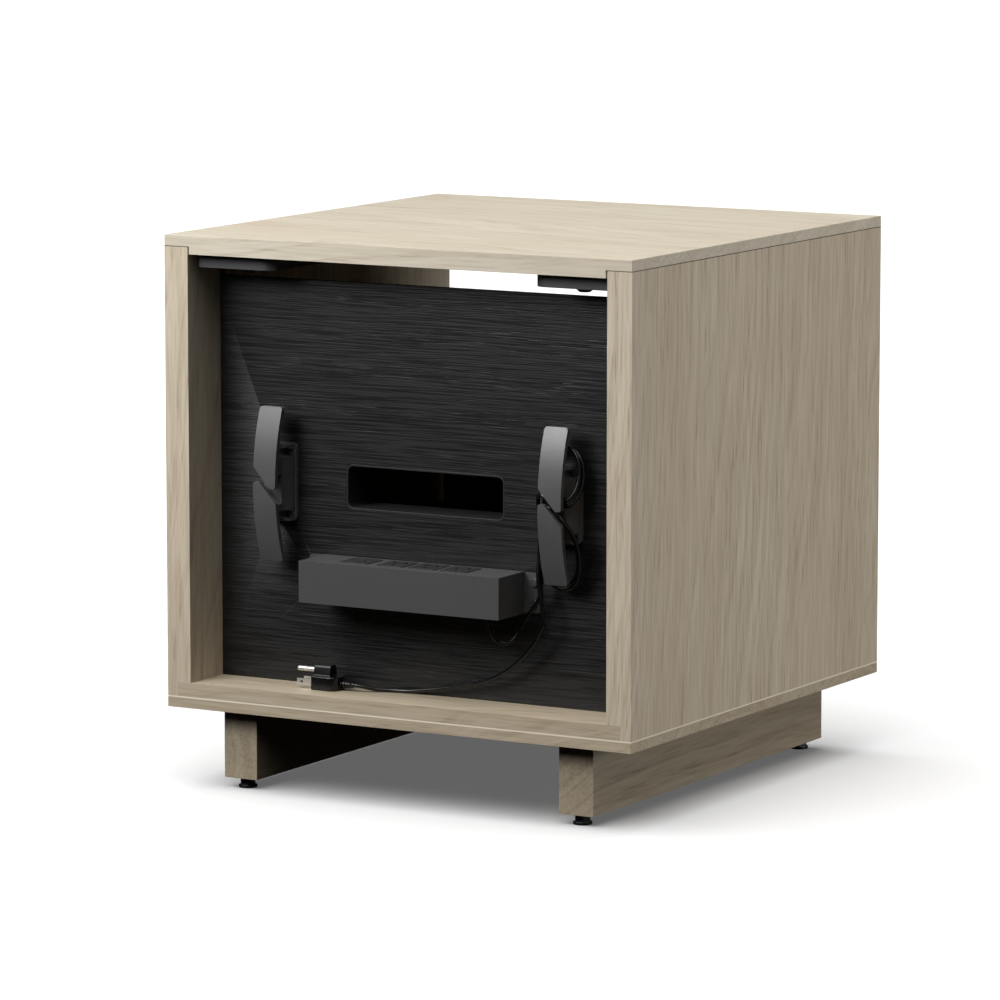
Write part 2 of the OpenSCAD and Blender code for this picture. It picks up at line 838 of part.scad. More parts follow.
module strip_back_plate() {
  l = strip_l + 2 * tab_l;
  color(grey_metal) difference() {
    along_y(panel_y, panel_y + plate_t)
      translate([0, strip_low_z + strip_h / 2]) soft_rect(l, strip_h - 2, 3);
    strip_screw_places() translate([0, -cut, 0]) rod_y(small_screw_d, plate_t + 2 * cut);
  }
}

// Moves to the top face at each outlet, turned as the outlet is
module outlet_places() {
  for (i = [0:len(outlet_x) - 1])
    translate([outlet_x[i], outlet_y, strip_low_z + strip_h]) rotate([0, 0, outlet_turn[i]]) children();
}

// Outlet block with two blade slots and a round ground hole, which faces +Y
module strip_outlets() {
  color(black_plastic) outlet_places() difference() {
    translate([0, 0, -outlet_depth]) linear_extrude(height = outlet_depth + outlet_rise)
      soft_rect(outlet_w - 2 * outlet_fit, outlet_l - 2 * outlet_fit, 3 - outlet_fit);
    for (x = [-6.35, 6.35])
      translate([x - 1, -10, -18]) cube([2, 8, 20]);
    translate([0, 6, -18]) cylinder(d = 5.2, h = 20);
  }
}

// Three bars that hang under the outlets
module strip_bus_bars() {
  last = len(outlet_x) - 1;
  x0 = outlet_x[last] - outlet_w / 2 + 2;
  x1 = outlet_x[0] + outlet_l / 2 - 2;
  color(brass)
    for (k = [-1, 0, 1])
      translate([x0, outlet_y + k * bar_pitch - 0.5, strip_low_z + strip_h - outlet_depth - bar_h])
        cube([x1 - x0, 1, bar_h]);
}

module strip_screw_places() {
  for (s = [-1, 1])
    for (z = [-1, 1])
      translate([s * (strip_l / 2 + tab_l * 0.6), panel_y, strip_low_z + strip_h / 2 + z * 10]) children();
}

module strip_screws() {
  color(steel) strip_screw_places() pan_screw(plate_t);
}

// ---- Cord and plug ----

cord_d = 4;
gland_l = 14;
gland_tip = [-3, 0, -14.5];
gland_tip_d = 4.6;
gland_skirt = 1.5;
gland_in = 8;

// Tapered strain relief that leans sideways below the strip, with a collar inside the housing
module cord_gland() {
  from = [0, 0, -0.8];
  lean = atan2(-gland_tip[0], from[2] - gland_tip[2]);
  color(black_plastic) translate([gland_x, gland_y, strip_low_z]) {
    translate(from) rotate([0, 180 + lean, 0])
      cylinder(d1 = gland_d, d2 = gland_tip_d, h = norm(gland_tip - from));
    translate([0, 0, -gland_skirt]) cylinder(d = gland_d, h = gland_skirt + strip_wall);
    translate([0, 0, strip_wall]) cylinder(d = gland_d + 4, h = gland_in - strip_wall);
  }
}

// Routes measured from the panel's face and the inside floor.
// This one goes from the gland to the winding
lead_route = [
  [-87.8, 26, 73.5], [-89.5, 25.5, 67], [-93.5, 23, 61.5], [-100, 19, 60], [-105.5, 16, 63.5],
  [-110, 13.5, 71], [-115.5, 12, 81.5], [-123, 12.5, 92], [-130.5, 13.5, 101], [-136, 16, 110.5],
  [-138.5, 18.5, 121.5], [-139, 19, 133], [-139, 17, 144], [-138, 13, 154], [-137.8, 10, 164.5],
  [-137.8, 9, 176]
];

// This one goes from the winding to the plug
tail_route = [
  [-151, 9.5, 116.5], [-145.5, 13.5, 109.5], [-141.5, 18, 101.5], [-139.8, 20, 92], [-137.5, 19, 80.5],
  [-131.5, 17, 68.5], [-123.5, 16, 56], [-112.5, 14.5, 45], [-100, 13, 35], [-87, 11.5, 27],
  [-74, 10, 21], [-61, 8.5, 17], [-47, 7.5, 13.5], [-32, 6.5, 10], [-17, 5.5, 7.2], [-3, 5, 5],
  [9, 4.8, 3.2], [20, 5.5, 2.2], [31, 7.5, 2.1], [40, 10.5, 2.3], [47.5, 14, 3], [54, 17.8, 4.4],
  [59.5, 20.6, 5.7], [65.5, 22, 6.3]
];

function tangent(p, i) = unit(p[min(i + 1, len(p) - 1)] - p[max(i - 1, 0)]);

function square_to(v, t) = unit(v - (v * t) * t);

// Side directions carried along the route with no twist
function side_dirs(p) =
  [for (i = 0, v = square_to([0.3, 1, 0.2], tangent(p, 0)); i < len(p);
        i = i + 1, v = i < len(p) ? square_to(v, tangent(p, i)) : v) v];

// Round tube swept along a route: a ring of points square to the route at every point
module tube(p, d, sides = 8) {
  dirs = side_dirs(p);
  last = len(p) - 1;
  rings = [for (i = [0:last])
    let (t = tangent(p, i), u = dirs[i], v = cross(t, u))
    for (k = [0:sides - 1])
      p[i] + d / 2 * (cos(360 * k / sides) * u + sin(360 * k / sides) * v)];
  walls = [for (i = [0:last - 1])
    for (k = [0:sides - 1])
      let (a = i * sides + k, b = i * sides + (k + 1) % sides)
      each [[a, a + sides, b], [b, a + sides, b + sides]]];
  start = [for (k = [0:sides - 1]) k];
  end = [for (k = [sides - 1:-1:0]) last * sides + k];
  polyhedron(points = rings, faces = concat(walls, [start, end]), convexity = 10);
}

module cord_lead() {
  color(black_plastic) translate([0, panel_y, floor_z]) tube(lead_route, cord_d);
}

module cord_tail() {
  color(black_plastic) translate([0, panel_y, floor_z]) tube(tail_route, cord_d);
}

winding_low_z = floor_z + 114.5;
winding_high_z = floor_z + 249;
winding_in = 16;
winding_wall = 4.5;
winding_y0 = panel_y + 3.5;
winding_y1 = panel_y + 16;

// Outer shape of the turns round the right cleat's neck: a ring with round ends
module winding_outline(r) {
  low = winding_low_z + winding_in + winding_wall;
  high = winding_high_z - winding_in - winding_wall;
  translate([-cleat_x, low]) circle(r = r);
  translate([-cleat_x, high]) circle(r = r);
  translate([-cleat_x - r, low]) square([2 * r, high - low]);
}

module cord_winding() {
  color(black_plastic) difference() {
    along_y(winding_y0, winding_y1) winding_outline(winding_in + winding_wall);
    along_y(winding_y0 - cut, winding_y1 + cut) winding_outline(winding_in);
  }
}

// The plug lies on the inside floor and points along +X
plug_x = 107.5;
plug_y = panel_y + 22;
plug_l = 28;
plug_w = 24;
plug_h = 13.5;
blade_z = floor_z + 6.3;
blade_l = 18;
blade_pitch = 12.7;
blade_w = 6.3;
blade_t = 1.5;
ground_z = blade_z + 11.9;
ground_d = 4.8;
ground_l = 19;
relief_l = 14;

module plug_body() {
  hump_l = 19;
  hump_h = 10.5;
  foot = 7;
  color(black_plastic) {
    translate([plug_x - plug_l / 2, plug_y, floor_z]) linear_extrude(height = plug_h)
      polygon(rounded([[-plug_l, -plug_w] / 2, [plug_l, -plug_w] / 2, [plug_l, plug_w] / 2,
        [-plug_l, plug_w] / 2], [9, 1.5, 1.5, 9]));
    along_x(plug_x - hump_l, plug_x)
      translate([plug_y, floor_z + plug_h])
        polygon(rounded([[-foot, -eps], [foot, -eps], [foot - 2, hump_h], [2 - foot, hump_h]], [0, 0, 3, 3]));
  }
}

module plug_relief() {
  color(black_plastic) translate([plug_x - plug_l, plug_y, blade_z]) rotate([0, -90, 0])
    cylinder(d1 = 8, d2 = 5.4, h = relief_l);
}

module plug_blades() {
  color(steel)
    for (s = [-1, 1])
      translate([plug_x, plug_y + s * blade_pitch / 2 - blade_t / 2, blade_z]) difference() {
        translate([0, 0, -blade_w / 2]) cube([blade_l, blade_t, blade_w]);
        translate([blade_l - 5, -cut, 0]) rod_y(3, blade_t + 2 * cut);
      }
}

module plug_ground_pin() {
  color(steel) translate([plug_x, plug_y, ground_z]) {
    rod_x(ground_d, ground_l);
    translate([ground_l, 0, 0]) sphere(d = ground_d);
  }
}

top_panel();
side_panel(1);  // side_left
side_panel(-1);  // side_right
bottom_panel();
fixed_shelf();
adjustable_shelf();
shelf_pins();
back_panel();
slot_liner();
dowels();
runner(1);  // runner_left
runner(-1);  // runner_right
runner_screws();
foot_inserts();
levelling_foot(1, 1);  // foot_back_left
levelling_foot(-1, 1);  // foot_back_right
levelling_foot(1, -1);  // foot_front_left
levelling_foot(-1, -1);  // foot_front_right
top_bracket(1, 1);  // bracket_back_left
top_bracket(-1, 1);  // bracket_back_right
top_bracket(1, -1);  // bracket_front_left
top_bracket(-1, -1);  // bracket_front_right
bracket_knobs();
bracket_inserts();
bracket_screws();
door_panel();
hinge_bushes();
hinge_pins();
door_pull();
pull_screws();
magnet_catch();
catch_screws();
strike_plate();
cleat(1);  // cleat_left
cleat(-1);  // cleat_right
cleat_screws();
strip_housing();
strip_back_plate();
strip_outlets();
strip_bus_bars();
strip_screws();
cord_gland();
cord_lead();
cord_winding();
cord_tail();
plug_relief();
plug_body();
plug_blades();
plug_ground_pin();
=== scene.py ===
"""Looks of a media cabinet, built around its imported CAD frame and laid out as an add-on."""

import json
import math

import bmesh
import bpy
import numpy as np
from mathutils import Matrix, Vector

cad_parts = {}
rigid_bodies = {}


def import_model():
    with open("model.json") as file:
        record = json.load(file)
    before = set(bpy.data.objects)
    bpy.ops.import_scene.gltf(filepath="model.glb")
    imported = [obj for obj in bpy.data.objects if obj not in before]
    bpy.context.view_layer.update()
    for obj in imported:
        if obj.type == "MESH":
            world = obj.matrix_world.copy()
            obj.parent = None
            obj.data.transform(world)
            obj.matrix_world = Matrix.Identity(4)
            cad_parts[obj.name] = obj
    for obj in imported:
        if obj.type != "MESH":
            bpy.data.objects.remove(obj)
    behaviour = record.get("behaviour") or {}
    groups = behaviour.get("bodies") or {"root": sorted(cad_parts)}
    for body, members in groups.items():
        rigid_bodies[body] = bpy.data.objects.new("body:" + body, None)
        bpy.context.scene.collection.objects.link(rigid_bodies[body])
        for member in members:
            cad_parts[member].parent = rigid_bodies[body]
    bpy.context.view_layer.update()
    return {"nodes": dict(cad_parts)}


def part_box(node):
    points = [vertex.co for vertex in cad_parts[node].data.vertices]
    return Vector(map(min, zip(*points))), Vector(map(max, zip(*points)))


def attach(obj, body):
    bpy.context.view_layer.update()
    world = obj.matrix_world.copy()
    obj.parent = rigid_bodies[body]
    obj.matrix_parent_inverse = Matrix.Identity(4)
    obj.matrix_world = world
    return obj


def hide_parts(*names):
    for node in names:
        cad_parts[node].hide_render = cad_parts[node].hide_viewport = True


bl_info = {
    "name": "Media cabinet",
    "version": (1, 0, 0),
    "blender": (4, 5, 0),
    "location": "3D View > Sidebar > Cabinet",
    "description": "Builds the boards, cord, fittings and finishes of a media cabinet",
    "category": "Object",
}

for leftover in list(bpy.data.objects):
    bpy.data.objects.remove(leftover)

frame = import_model()
MM = 0.001
CASE = "case"
DOOR = "door"
FEET = ("foot_back_left", "foot_back_right", "foot_front_left", "foot_front_right")
PANEL_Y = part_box("back_panel")[1].y
FLOOR_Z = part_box("bottom_panel")[1].z
CLEAT = (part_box("cleat_right")[0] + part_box("cleat_right")[1]) / 2
CLEAT.y = PANEL_Y


# ---- Shader arithmetic ----


class Val:
    """A number on a shader socket; arithmetic on it adds Math nodes to its finish."""

    def __init__(self, finish, socket):
        self.finish = finish
        self.socket = socket

    def _math(self, operation, *values):
        return self.finish.node("Math", {"operation": operation}, dict(enumerate(values)))

    def __add__(self, other):
        return self._math("ADD", self, other)

    __radd__ = __add__

    def __sub__(self, other):
        return self._math("SUBTRACT", self, other)

    def __rsub__(self, other):
        return self._math("SUBTRACT", other, self)

    def __mul__(self, other):
        return self._math("MULTIPLY", self, other)

    __rmul__ = __mul__

    def __truediv__(self, other):
        return self._math("DIVIDE", self, other)

    def __rtruediv__(self, other):
        return self._math("DIVIDE", other, self)

    def __pow__(self, other):
        return self._math("POWER", self, other)

    def __rpow__(self, other):
        return self._math("POWER", other, self)

    def floor(self):
        return self._math("FLOOR", self)

    def abs(self):
        return self._math("ABSOLUTE", self)

    def step(self, low, high):
        """Smooth step from 0 at low to 1 at high."""
        sockets = {"Value": self, "From Min": low, "From Max": high}
        return self.finish.node("MapRange", {"interpolation_type": "SMOOTHSTEP"}, sockets)


class Finish:
    """A material being made; it holds the node tree and its Principled shader."""

    def __init__(self, name, **fixed):
        self.material = bpy.data.materials.new(name)
        self.material.use_nodes = True
        self.tree = self.material.node_tree
        self.shader = self.tree.nodes["Principled BSDF"]
        for socket, value in fixed.items():
            self.shader.inputs[socket.replace("_", " ")].default_value = value
        self.place = self.node("TexCoord", out="Object")

    def node(self, kind, settings=None, sockets=None, out=0):
        """Adds a node, sets it up, fills or links its sockets and returns one output."""
        made = self.tree.nodes.new("ShaderNode" + kind)
        for key, value in (settings or {}).items():
            setattr(made, key, value)
        for key, value in (sockets or {}).items():
            self.put(made.inputs[key], value)
        return Val(self, made.outputs[out])

    def put(self, socket, value):
        if isinstance(value, Val):
            self.tree.links.new(value.socket, socket)
        else:
            socket.default_value = value

    def axes(self, order="XYZ"):
        """The place's coordinates in metres, in the order asked for."""
        split = self.tree.nodes.new("ShaderNodeSeparateXYZ")
        self.put(split.inputs[0], self.place)
        return [Val(self, split.outputs["XYZ".index(a)]) for a in order]

    def point(self, x, y, z):
        return self.node("CombineXYZ", sockets={"X": x, "Y": y, "Z": z})

    def noise(self, place, scale=1.0, detail=2.0, rough=0.5):
        sockets = {"Vector": place, "Scale": scale, "Detail": detail, "Roughness": rough}
        return self.node("TexNoise", {}, sockets)

    def mix(self, factor, a, b):
        """Colour a where factor is 0 and colour b where it is 1."""
        return self.node("Mix", {"data_type": "RGBA"}, {0: factor, 6: a, 7: b}, out=2)

    def end(self, colour=None, rough=None, height=None, depth=0.0001, strength=1.0):
        """Feeds the shader and returns the material; height is in units of depth, in metres."""
        if colour is not None:
            self.put(self.shader.inputs["Base Color"], colour)
        if rough is not None:
            self.put(self.shader.inputs["Roughness"], rough)
        if height is not None:
            bump = {"Height": height, "Distance": depth, "Strength": strength}
            self.put(self.shader.inputs["Normal"], self.node("Bump", {}, bump))
        return self.material


def rgb(r, g, b):
    """Display colour, 0 to 255, as linear RGBA: ((c + 0.055) / 1.055) ^ 2.4 above the toe."""
    parts = [c / 255 for c in (r, g, b)]
    return (*[c / 12.92 if c <= 0.04045 else ((c + 0.055) / 1.055) ** 2.4 for c in parts], 1.0)


# ---- Finishes ----


def oak(name, order, seed, leaf, light, dark, slope, seam_shade_and_highlight=()):
    """Limed oak.

    order names the axes along the grain, across the leaf and through the board. The growth
    rings are the surfaces at equal distance from a slanted heart, sqrt(across^2 + depth^2),
    and depth grows along the grain, so a flat face cuts them into nested arches. The last
    argument lists heights of lines painted along the joints, painted shade and painted
    highlights, each with its half width and its colour.
    """
    f = Finish(name)
    along, across, through = f.axes(order)
    number = ((across + seed * 0.013) / leaf).floor()
    middle = across + seed * 0.013 - (number + 0.5) * leaf
    shift = number * 3.7 + seed
    wander = f.noise(f.point(along * 2.6 + shift, across * 3.0, shift), detail=1.0) - 0.5
    swell = f.noise(f.point(along * 5.0 + shift, across * 9.0, through * 12.0), detail=2.0) - 0.5
    heart = middle + wander * 0.10 + through * 0.6
    depth = 0.060 + along * slope + swell * 0.045 + through * 0.9
    reach = (heart * heart + depth * depth) ** 0.5
    wide_ring = f.noise(f.point(reach * 150.0, along * 0.9, shift), detail=2.0, rough=0.6)
    fine_ring = f.noise(f.point(reach * 620.0, along * 2.5, shift + 4.0), detail=1.0)
    late = wide_ring.step(0.40, 0.64) * (0.55 + fine_ring.step(0.35, 0.65) * 0.45)
    wide = f.noise(f.point(along * 1.5, across * 30.0, through * 30.0 + shift), detail=3.0)
    pore = f.noise(f.point(along * 26.0, across * 560.0, through * 560.0), detail=1.5)
    pores = pore.step(0.54, 0.66) * (0.30 + late * 0.70)
    fibre = f.noise(f.point(along * 14.0, across * 300.0, through * 300.0 + 9.0), detail=2.0)
    fibre = fibre.step(0.35, 0.70)
    shade = late * 0.28 + wide.step(0.30, 0.72) * 0.16 + pores * 0.50 + fibre * 0.30
    colour = f.mix(shade, light, dark)
    cloud = f.noise(f.point(along * 3.0, across * 9.0, shift), detail=2.0)
    colour = f.mix(cloud.step(0.3, 0.7) * 0.18, colour, rgb(178, 154, 127))
    z = f.axes("Z")[0]
    # Paints the listed joint lines into the colour: painted shade under the top board, a painted
    # highlight on the arris over the bottom board
    for height, half, tone in seam_shade_and_highlight:
        line = 1.0 - (z - height).abs().step(half * 0.5, half)
        colour = f.mix(line, colour, rgb(*tone))
    rough = 0.50 + pores * 0.14 + wide * 0.05
    height = 0.6 - pores * 0.6 + late * 0.10
    return f.end(colour, rough, height, 0.00012, 0.5)


def black_oak(name, dark, light):
    """Black-stained oak: fine light dashes along the grain over slow darker bands."""
    f = Finish(name)
    along, across, through = f.axes("XZY")
    bend = f.noise(f.point(along * 3.0, across * 6.0, 1.0), detail=1.0) - 0.5
    line = across + bend * 0.006
    bands = f.noise(f.point(along * 1.2, line * 55.0, through * 40.0), detail=3.0)
    grain = f.noise(f.point(along * 16.0, line * 850.0, through * 700.0), detail=2.5)
    dash = f.noise(f.point(along * 34.0, line * 1150.0, through * 900.0 + 5.0), detail=1.0)
    spark = dash.step(0.62, 0.74) * bands.step(0.42, 0.62)
    tone = grain.step(0.35, 0.68)
    colour = f.mix(tone, dark, light)
    colour = f.mix(spark * 0.30, colour, rgb(88, 88, 88))
    colour = f.mix(bands.step(0.35, 0.65) * 0.30, colour, rgb(12, 12, 13))
    height = tone * 0.7 - spark * 0.5
    return f.end(colour, 0.37 + tone * 0.12, height, 0.00014, 0.6)


def moulded(name, colour, rough, grain=2600.0, depth=0.00003, worn=0.06):
    """Moulded plastic: a spark-eroded texture in the bump and a slow change of sheen."""
    f = Finish(name)
    fine = f.noise(f.place, grain, 2.0)
    slow = f.noise(f.place, 28.0, 3.0)
    lighter = tuple(min(1, c * 1.9 + 0.01) for c in colour[:3]) + (1,)
    base = f.mix(slow.step(0.3, 0.7) * worn, colour, lighter)
    return f.end(base, rough + (slow - 0.5) * 0.14 + (fine - 0.5) * 0.05, fine, depth, 0.5)


def coated(name, colour, rough=0.42):
    """Powder-coated steel: a low orange peel and faint variation in sheen."""
    f = Finish(name)
    peel = f.noise(f.place, 900.0, 1.0)
    grain = f.noise(f.place, 4200.0, 1.0)
    slow = f.noise(f.place, 14.0, 2.0)
    lighter = tuple(min(1, c * 1.35 + 0.004) for c in colour[:3]) + (1,)
    base = f.mix(grain.step(0.4, 0.7) * 0.35, colour, lighter)
    return f.end(base, rough + (slow - 0.5) * 0.10, peel + grain * 0.4, 0.00004, 0.5)


def metal(name, colour, rough):
    """Turned or plated metal: streaks along X in its colour, sheen and bump."""
    f = Finish(name, Metallic=1.0)
    x, y, z = f.axes()
    streak = f.noise(f.point(x * 60.0, y * 2400.0, z * 2400.0), detail=2.0)
    slow = f.noise(f.place, 120.0, 2.0)
    base = f.mix(streak.step(0.3, 0.7) * 0.3, colour, tuple(c * 0.72 for c in colour[:3]) + (1,))
    return f.end(base, rough + (streak - 0.5) * 0.12 + (slow - 0.5) * 0.10, streak, 0.00001, 0.4)


def vinyl(name):
    """Black vinyl cord jacket: nearly smooth, with slow drawn marks and a soft gloss."""
    f = Finish(name)
    slow = f.noise(f.place, 90.0, 2.0)
    fine = f.noise(f.place, 1500.0, 1.0)
    base = f.mix(slow, rgb(8, 8, 9), rgb(14, 14, 15))
    return f.end(base, 0.20 + slow * 0.10, fine, 0.00002, 0.35)


FINISHES = {}
# Lines painted along the joints: a dark one under the top board, the joint with painted shade along
# it, and a painted highlight on the arris over the bottom board: height, half width, colour
SEAM_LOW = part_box("side_left")[0].z
SEAM_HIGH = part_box("side_left")[1].z
SEAM_SHADE_AND_HIGHLIGHT = ((SEAM_HIGH, 0.0008, (70, 62, 50)), (SEAM_LOW, 0.0009, (232, 222, 200)))


def finish(key):
    """Makes each finish once."""
    wood, back = bpy.context.scene.cabinet_wood, bpy.context.scene.cabinet_back
    pale, tan = (*wood.pale, 1.0), (*wood.tan, 1.0)
    makers = {
        "oak_side": lambda: oak("oak_side", "ZYX", 4.3, 0.172, pale, tan, 0.16, SEAM_SHADE_AND_HIGHLIGHT),
        "oak_door": lambda: oak("oak_door", "XZY", 9.1, 0.26, pale, tan, 0.15),
        "oak_top": lambda: oak(
            "oak_top", "XYZ", 1.7, 0.26, rgb(208, 200, 183), rgb(176, 164, 144), 0.14
        ),
        "oak_base": lambda: oak(
            "oak_base", "XYZ", 3.1, 0.26, rgb(188, 176, 154), rgb(146, 131, 108), 0.14, SEAM_SHADE_AND_HIGHLIGHT
        ),
        "oak_runner": lambda: oak(
            "oak_runner", "YZX", 6.2, 0.5, rgb(172, 160, 138), rgb(132, 118, 96), 0.10
        ),
        "beech": lambda: oak(
            "beech", "ZXY", 2.2, 0.5, rgb(205, 180, 145), rgb(180, 150, 112), 0.20
        ),
        "black_oak": lambda: black_oak("black_oak", (*back.dark, 1.0), (*back.light, 1.0)),
        "black_plastic": lambda: moulded("black_plastic", rgb(34, 34, 36), 0.45),
        "foot_plastic": lambda: moulded("foot_plastic", rgb(22, 22, 24), 0.26, 1400.0, 0.00001),
        "dark_coated_steel": lambda: coated("dark_coated_steel", rgb(72, 72, 73)),
        "cleat_grey": lambda: moulded("cleat_grey", rgb(80, 80, 81), 0.36),
        "zinc_steel": lambda: metal("zinc_steel", rgb(205, 205, 208), 0.30),
        "brass": lambda: metal("brass", rgb(214, 180, 110), 0.30),
        "cord_jacket": lambda: vinyl("cord_jacket"),
        "nickel": lambda: metal("nickel", rgb(232, 230, 226), 0.40),
    }
    if key not in FINISHES:
        FINISHES[key] = makers[key]()
    return FINISHES[key]


# ---- Making pieces ----

# Faces that meet at more than this many degrees keep a sharp edge
SHARP = 40


def piece(name, mesh, body, key, stands_for=()):
    """Links a finished mesh, paints it and lets it ride on its body."""
    made = bpy.data.objects.new(name, mesh)
    bpy.context.scene.collection.objects.link(made)
    mesh.materials.clear()
    mesh.materials.append(finish(key))
    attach(made, body)
    if stands_for:
        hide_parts(*stands_for)
    return made


def paint(node, key):
    """Gives a CAD node a finish of its own."""
    made = frame["nodes"][node]
    made.data.materials.clear()
    made.data.materials.append(finish(key))
    return made


def eased(node, name, body, key, width=0.5, segments=2, angle=30.0):
    """A merged copy of a CAD node with its sharp edges eased by width, in millimetres."""
    work = bmesh.new()
    work.from_mesh(frame["nodes"][node].data)
    bmesh.ops.remove_doubles(work, verts=work.verts, dist=2e-6)
    bmesh.ops.dissolve_limit(
        work, angle_limit=math.radians(0.6), verts=work.verts, edges=work.edges, delimit=set()
    )
    mesh = bpy.data.meshes.new(name)
    work.to_mesh(mesh)
    work.free()
    mesh.polygons.foreach_set("use_smooth", np.ones(len(mesh.polygons), bool))
    mesh.set_sharp_from_angle(angle=math.radians(angle))
    made = piece(name, mesh, body, key, (node,))
    if width:
        soft = made.modifiers.new("eased", "BEVEL")
        soft.width = width * MM
        soft.segments = segments
        soft.limit_method = "ANGLE"
        soft.angle_limit = math.radians(angle)
        soft.harden_normals = True
        soft.miter_outer = "MITER_ARC"
    return made


def grid_mesh(name, points, caps=False):
    """Mesh of a grid of points of shape (rows, columns, 3), whose columns close to a ring.

    Face (i, j) joins points (i, j), (i, j+1), (i+1, j+1), (i+1, j). Caps close the first and
    the last row with one face each.
    """
    rows, columns = points.shape[:2]
    i, j = np.meshgrid(np.arange(rows - 1), np.arange(columns), indexing="ij")
    j2 = (j + 1) % columns
    corners = [i * columns + j, i * columns + j2, (i + 1) * columns + j2, (i + 1) * columns + j]
    faces = np.stack(corners, -1).reshape(-1, 4).tolist()
    if caps:
        faces += [list(range(columns))[::-1], list(range((rows - 1) * columns, rows * columns))]
    mesh = bpy.data.meshes.new(name)
    mesh.from_pydata(points.reshape(-1, 3).tolist(), [], faces)
    mesh.update()
    mesh.polygons.foreach_set("use_smooth", np.ones(len(mesh.polygons), bool))
    mesh.set_sharp_from_angle(angle=math.radians(SHARP))
    return mesh


def outward(mesh):
    """Turns every face of a closed mesh outwards."""
    work = bmesh.new()
    work.from_mesh(mesh)
    bmesh.ops.remove_doubles(work, verts=work.verts, dist=1e-7)
    bmesh.ops.recalc_face_normals(work, faces=work.faces)
    work.to_mesh(mesh)
    work.free()
    return mesh


def turned(name, profile, centre, axis, sides=40):
    """Surface of revolution: the profile's (height, radius) points, in mm, carried round an axis.

    Point = centre + axis * height + radius * (cos(angle) * side + sin(angle) * up).
    """
    axis = np.array(axis, float)
    side = np.cross(axis, [0.3, 0.9, 0.31] if abs(axis[1]) < 0.8 else [1.0, 0.1, 0.2])
    side /= np.linalg.norm(side)
    up = np.cross(axis, side)
    height, radius = np.array(profile, float).T[..., None, None] * MM
    angle = np.linspace(0, 2 * math.pi, sides, endpoint=False)
    ring = np.cos(angle)[:, None] * side + np.sin(angle)[:, None] * up
    points = np.array(centre) + height * axis + radius * ring
    return outward(grid_mesh(name, points, caps=True))


def smooth_path(points, per_step=6):
    """Catmull-Rom curve through the points, with per_step points for each step.

    Between b and c, with neighbours a and d and t from 0 to 1, the point is half of
    2b + (c - a) t + (2a - 5b + 4c - d) t^2 + (3b - a - 3c + d) t^3.
    """
    p = np.array(points, float)
    p = np.vstack([2 * p[0] - p[1], p, 2 * p[-1] - p[-2]])
    t = np.linspace(0, 1, per_step, endpoint=False)[None, :, None]
    a, b, c, d = (p[k : len(p) - 3 + k, None] for k in range(4))
    straight = 2 * b + (c - a) * t
    bend = (2 * a - 5 * b + 4 * c - d) * t**2 + (3 * b - a - 3 * c + d) * t**3
    curve = 0.5 * (straight + bend)
    return np.vstack([curve.reshape(-1, 3), p[-2]])


def evenly(path, step):
    """The same path with points step apart."""
    along = np.concatenate([[0], np.cumsum(np.linalg.norm(np.diff(path, axis=0), axis=1))])
    at = np.linspace(0, along[-1], max(2, round(along[-1] / step)))
    return np.stack([np.interp(at, along, path[:, k]) for k in range(3)], axis=1)


def swept(name, path, radius, sides=12):
    """Tube: a circle carried along the path without twist.

    Point = path + radius * (cos(angle) * u + sin(angle) * v), where u is the last u with its
    part along the path taken away.
    """
    tangent = np.gradient(path, axis=0)
    tangent /= np.linalg.norm(tangent, axis=1)[:, None]
    u = np.zeros_like(path)
    start = np.cross(tangent[0], [0.2, 1.0, 0.1])
    u[0] = start / np.linalg.norm(start)
    for k in range(1, len(path)):
        level = u[k - 1] - tangent[k] * (u[k - 1] @ tangent[k])
        u[k] = level / np.linalg.norm(level)
    v = np.cross(tangent, u)
    angle = np.linspace(0, 2 * math.pi, sides, endpoint=False)
    ring = np.cos(angle)[None, :, None] * u[:, None] + np.sin(angle)[None, :, None] * v[:, None]
    return outward(grid_mesh(name, path[:, None] + radius * ring, caps=True))


# ---- Cord route, in millimetres from the panel's face and the inside floor ----

# From the gland to the right cleat
LEAD = [
    (-87.8, 26, 73.5), (-89.5, 25.5, 67), (-93.5, 23, 61.5), (-100, 19, 60), (-105.5, 16, 63.5),
    (-110, 13.5, 71), (-115.5, 12, 81.5), (-123, 12.5, 92), (-130, 13.5, 101), (-134, 14.5, 111),
    (-135, 14.5, 122),
]
# From the cleat to the plug
TAIL = [
    (-140, 20.5, 88), (-139.5, 20, 80.5), (-132.5, 17.5, 68.5), (-123.5, 16, 56), (-112.5, 14.5, 45),
    (-100, 13, 35), (-87, 11.5, 27), (-74, 10, 21), (-61, 8.5, 17), (-47, 7.5, 13.5), (-32, 6.5, 10),
    (-17, 5.5, 7.2), (-3, 5, 5), (9, 4.8, 3.2), (20, 5.5, 2.2), (31, 7.5, 2.1), (40, 10.5, 2.3),
    (47.5, 14, 3), (54, 17.8, 4.4), (59.5, 20.6, 5.7), (65.5, 22, 6.3),
]

# The turns round the cleat's neck, from the cleat's middle and the panel's face
# Up the left side and over the top
CLIMB = [
    (20.4, 13.5, -61), (19.4, 12.3, -50), (18.3, 11.5, -38), (17.5, 11.3, -25), (17, 11.5, -10),
    (17, 12, 5), (17.3, 12, 20), (17, 11, 33), (15, 9.2, 44), (9.5, 8.2, 51.5), (0, 7.5, 54.5),
]
# Down the right side, through the saddle and over the top again
UPPER_1 = [
    (-9, 8, 52.5), (-16, 9, 46.5), (-20.5, 10.5, 37), (-22, 12.5, 26), (-21, 16, 15),
    (-17.6, 20.5, 5.5), (-12.3, 23.8, 1), (-6, 24.6, 3), (0, 24.4, 8), (6.5, 24.7, 13.2),
    (12.5, 23.3, 18.5), (16, 19.5, 26), (16.8, 16.8, 34), (14.5, 13.7, 45), (9, 12.5, 52),
    (0, 12, 55.5),
]
